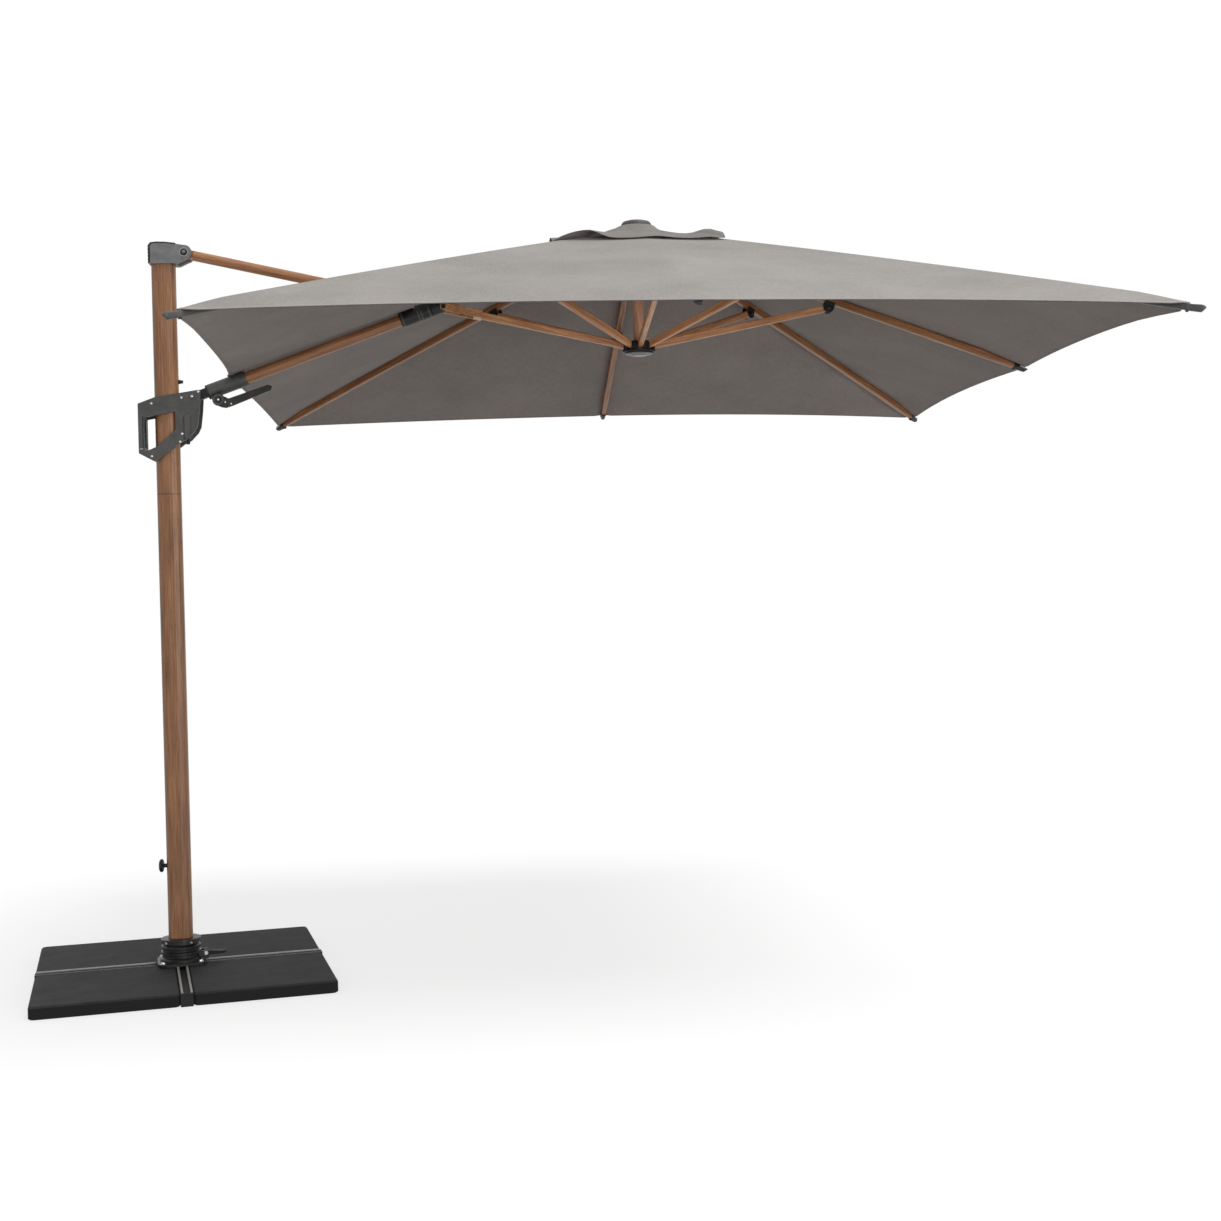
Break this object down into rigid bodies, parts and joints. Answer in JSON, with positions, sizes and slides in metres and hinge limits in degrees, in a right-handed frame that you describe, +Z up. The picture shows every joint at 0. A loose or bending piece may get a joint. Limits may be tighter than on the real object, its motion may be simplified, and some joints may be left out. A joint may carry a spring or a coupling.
{
  "type": "cantilever parasol",
  "caption": "Square cantilever parasol on a slab base: swivelling mast, scissor arm with a sliding handle, and a tilting canopy on hinged ribs and struts.",
  "frame": {"origin": "On the ground, under the axis of the mast", "axes": "+Z is up, the arm reaches along +X from the mast to the canopy, and -Y is the side of the tilt lever"},
  "size_m": [3.8507, 3.0102, 2.7668],
  "materials": {
    "wood_look": "satin",
    "charcoal_casting": "satin",
    "black_plastic": "satin",
    "grey_casting": "satin",
    "slab_black": "matte",
    "black_steel": "satin",
    "zinc_steel": "satin",
    "taupe_canvas": "matte"
  },
  "bodies": {
    "base": {"base_beam_long": "black_steel", "base_beam_cross": "black_steel", "slab_near_left": "slab_black", "slab_near_right": "slab_black", "slab_far_left": "slab_black", "slab_far_right": "slab_black", "foot_plate": "black_steel", "foot_socket": "black_steel", "swivel_bush": "black_plastic", "pedal_pin": "zinc_steel"},
    "pedal": {"foot_pedal": "black_plastic"},
    "mast": {"mast_spigot": "black_plastic", "mast_lower": "wood_look", "mast_upper": "wood_look", "mast_joint_sleeve": "zinc_steel", "mast_cap": "grey_casting", "top_pivot_bolt": "black_plastic", "slider_stop": "black_plastic"},
    "knob": {"mast_knob": "black_plastic"},
    "rod": {"top_rod": "wood_look", "rod_fork": "black_plastic", "scissor_pin": "zinc_steel"},
    "boom": {"scissor_collar": "black_plastic", "arm_neck": "black_plastic", "arm_sleeve": "charcoal_casting", "lever_pin": "zinc_steel"},
    "slider": {"slider_cheek_front": "charcoal_casting", "slider_cheek_rear": "charcoal_casting", "slider_grip": "charcoal_casting", "latch_housing": "charcoal_casting", "glide_pad_upper": "black_plastic", "glide_pad_lower": "black_plastic", "slider_pivot_pin": "zinc_steel"},
    "trigger": {"slider_trigger": "black_plastic"},
    "lever": {"tilt_lever": "charcoal_casting"},
    "arm": {"main_arm": "wood_look", "strut_pin": "zinc_steel"},
    "crown": {"upper_hub": "black_plastic", "centre_post": "wood_look", "finial": "charcoal_casting", "vent_flap": "taupe_canvas", "canopy": "taupe_canvas"},
    "rib_right_link": {"rib_right": "wood_look"},
    "strut_right_link": {"strut_right": "wood_look"},
    "rib_far_right_link": {"rib_far_right": "wood_look"},
    "strut_far_right_link": {"strut_far_right": "wood_look"},
    "rib_far_link": {"rib_far": "wood_look"},
    "strut_far_link": {"strut_far": "wood_look"},
    "rib_far_left_link": {"rib_far_left": "wood_look"},
    "strut_far_left_link": {"strut_far_left": "wood_look"},
    "rib_near_left_link": {"rib_near_left": "wood_look"},
    "strut_near_left_link": {"strut_near_left": "wood_look"},
    "rib_near_link": {"rib_near": "wood_look"},
    "strut_near_link": {"strut_near": "wood_look"},
    "rib_near_right_link": {"rib_near_right": "wood_look"},
    "strut_near_right_link": {"strut_near_right": "wood_look"},
    "strut_left_link": {"strut_left": "wood_look", "strut_left_fork": "wood_look"},
    "runner": {"lower_hub": "black_plastic", "lower_hub_cap": "grey_casting"}
  },
  "joints": [
    {"name": "pedal_press", "type": "hinge", "parent": "base", "child": "pedal", "pos_m": [0.0854, 0.0166, 0.0776], "axis": [-0.1908, 0.9816, 0], "range_deg": [0, 15], "stiffness_Nm_per_rad": 3, "springref_deg": -5.73},
    {"name": "swivel", "type": "hinge", "parent": "base", "child": "mast", "pos_m": [0, 0, 0.1], "axis": [0, 0, 1], "continuous": true},
    {"name": "knob_turn", "type": "hinge", "parent": "mast", "child": "knob", "pos_m": [0, 0, 0.405], "axis": [-1, 0, 0], "continuous": true},
    {"name": "fold", "type": "hinge", "parent": "mast", "child": "rod", "pos_m": [0.08, 0, 2.65], "axis": [0, 1, 0], "range_deg": [0, 69.78], "deforming": ["canopy", "vent_flap"]},
    {"name": "boom_pivot", "type": "hinge", "parent": "rod", "child": "boom", "pos_m": [0.94525, 0, 2.46264], "axis": [0, 1, 0], "range_deg": [-131.46, 0]},
    {"name": "slider_pivot", "type": "hinge", "parent": "boom", "child": "slider", "pos_m": [0.097, 0, 2.1225], "axis": [0, 1, 0], "range_deg": [0, 61.68]},
    {"name": "trigger_squeeze", "type": "slide", "parent": "slider", "child": "trigger", "axis": [-1, 0, 0], "range_m": [0, 0.004], "stiffness_N_per_m": 500, "springref_m": -0.004},
    {"name": "lever_pull", "type": "hinge", "parent": "boom", "child": "lever", "pos_m": [0.19058, 0, 2.10954], "axis": [0, 1, 0], "range_deg": [0, 35]},
    {"name": "tilt", "type": "hinge", "parent": "boom", "child": "arm", "pos_m": [0.097, 0, 2.1225], "axis": [0.9396, 0, 0.3422], "range_deg": [-20, 20]},
    {"name": "crown_pivot", "type": "hinge", "parent": "arm", "child": "crown", "pos_m": [1.7, 0, 2.7063], "axis": [0, 1, 0], "range_deg": [0, 61.68]},
    {"name": "rib_right_pivot", "type": "hinge", "parent": "crown", "child": "rib_right_link", "pos_m": [1.8, 0, 2.7063], "axis": [0, 1, 0], "range_deg": [0, 61.19]},
    {"name": "strut_right_pivot", "type": "hinge", "parent": "rib_right_link", "child": "strut_right_link", "pos_m": [2.48008, 0, 2.43635], "axis": [0, 1, 0], "range_deg": [-132.02, 0]},
    {"name": "rib_far_right_pivot", "type": "hinge", "parent": "crown", "child": "rib_far_right_link", "pos_m": [1.78536, 0.03536, 2.7063], "axis": [-0.7071, 0.7071, 0], "range_deg": [0, 66.51]},
    {"name": "strut_far_right_pivot", "type": "hinge", "parent": "rib_far_right_link", "child": "strut_far_right_link", "pos_m": [2.26803, 0.51803, 2.50553], "axis": [-0.7071, 0.7071, 0], "range_deg": [-132.4, 0]},
    {"name": "rib_far_pivot", "type": "hinge", "parent": "crown", "child": "rib_far_link", "pos_m": [1.75, 0.05, 2.7063], "axis": [-1, 0, 0], "range_deg": [0, 61.19]},
    {"name": "strut_far_pivot", "type": "hinge", "parent": "rib_far_link", "child": "strut_far_link", "pos_m": [1.75, 0.73008, 2.43635], "axis": [-1, 0, 0], "range_deg": [-132.02, 0]},
    {"name": "rib_far_left_pivot", "type": "hinge", "parent": "crown", "child": "rib_far_left_link", "pos_m": [1.71464, 0.03536, 2.7063], "axis": [-0.7071, -0.7071, 0], "range_deg": [0, 66.51]},
    {"name": "strut_far_left_pivot", "type": "hinge", "parent": "rib_far_left_link", "child": "strut_far_left_link", "pos_m": [1.23197, 0.51803, 2.50553], "axis": [-0.7071, -0.7071, 0], "range_deg": [-132.4, 0]},
    {"name": "rib_near_left_pivot", "type": "hinge", "parent": "crown", "child": "rib_near_left_link", "pos_m": [1.71464, -0.03536, 2.7063], "axis": [0.7071, -0.7071, 0], "range_deg": [0, 66.51]},
    {"name": "strut_near_left_pivot", "type": "hinge", "parent": "rib_near_left_link", "child": "strut_near_left_link", "pos_m": [1.23197, -0.51803, 2.50553], "axis": [0.7071, -0.7071, 0], "range_deg": [-132.4, 0]},
    {"name": "rib_near_pivot", "type": "hinge", "parent": "crown", "child": "rib_near_link", "pos_m": [1.75, -0.05, 2.7063], "axis": [1, 0, 0], "range_deg": [0, 61.19]},
    {"name": "strut_near_pivot", "type": "hinge", "parent": "rib_near_link", "child": "strut_near_link", "pos_m": [1.75, -0.73008, 2.43635], "axis": [1, 0, 0], "range_deg": [-132.02, 0]},
    {"name": "rib_near_right_pivot", "type": "hinge", "parent": "crown", "child": "rib_near_right_link", "pos_m": [1.78536, -0.03536, 2.7063], "axis": [0.7071, 0.7071, 0], "range_deg": [0, 66.51]},
    {"name": "strut_near_right_pivot", "type": "hinge", "parent": "rib_near_right_link", "child": "strut_near_right_link", "pos_m": [2.26803, -0.51803, 2.50553], "axis": [0.7071, 0.7071, 0], "range_deg": [-132.4, 0]},
    {"name": "strut_left_pivot", "type": "hinge", "parent": "arm", "child": "strut_left_link", "pos_m": [1.01855, 0, 2.44677], "axis": [0, 1, 0], "range_deg": [0, 131.43]},
    {"name": "runner_pivot", "type": "hinge", "parent": "strut_left_link", "child": "runner", "pos_m": [1.7, 0, 2.29921], "axis": [0, 1, 0], "range_deg": [-69.95, 0]}
  ],
  "couplings": [
    {"joint": "boom_pivot", "follows": "fold", "ratio": -1.881},
    {"joint": "slider_pivot", "follows": "fold", "ratio": 0.88097},
    {"joint": "crown_pivot", "follows": "fold", "ratio": 0.88097},
    {"joint": "rib_right_pivot", "follows": "fold", "ratio": 0.87399},
    {"joint": "strut_right_pivot", "follows": "fold", "ratio": -1.889},
    {"joint": "rib_far_right_pivot", "follows": "fold", "ratio": 0.95019},
    {"joint": "strut_far_right_pivot", "follows": "fold", "ratio": -1.8945},
    {"joint": "rib_far_pivot", "follows": "fold", "ratio": 0.87399},
    {"joint": "strut_far_pivot", "follows": "fold", "ratio": -1.889},
    {"joint": "rib_far_left_pivot", "follows": "fold", "ratio": 0.95019},
    {"joint": "strut_far_left_pivot", "follows": "fold", "ratio": -1.8945},
    {"joint": "rib_near_left_pivot", "follows": "fold", "ratio": 0.95019},
    {"joint": "strut_near_left_pivot", "follows": "fold", "ratio": -1.8945},
    {"joint": "rib_near_pivot", "follows": "fold", "ratio": 0.87399},
    {"joint": "strut_near_pivot", "follows": "fold", "ratio": -1.889},
    {"joint": "rib_near_right_pivot", "follows": "fold", "ratio": 0.95019},
    {"joint": "strut_near_right_pivot", "follows": "fold", "ratio": -1.8945},
    {"joint": "strut_left_pivot", "follows": "fold", "ratio": 1.8806},
    {"joint": "runner_pivot", "follows": "fold", "ratio": -0.99959}
  ]
}
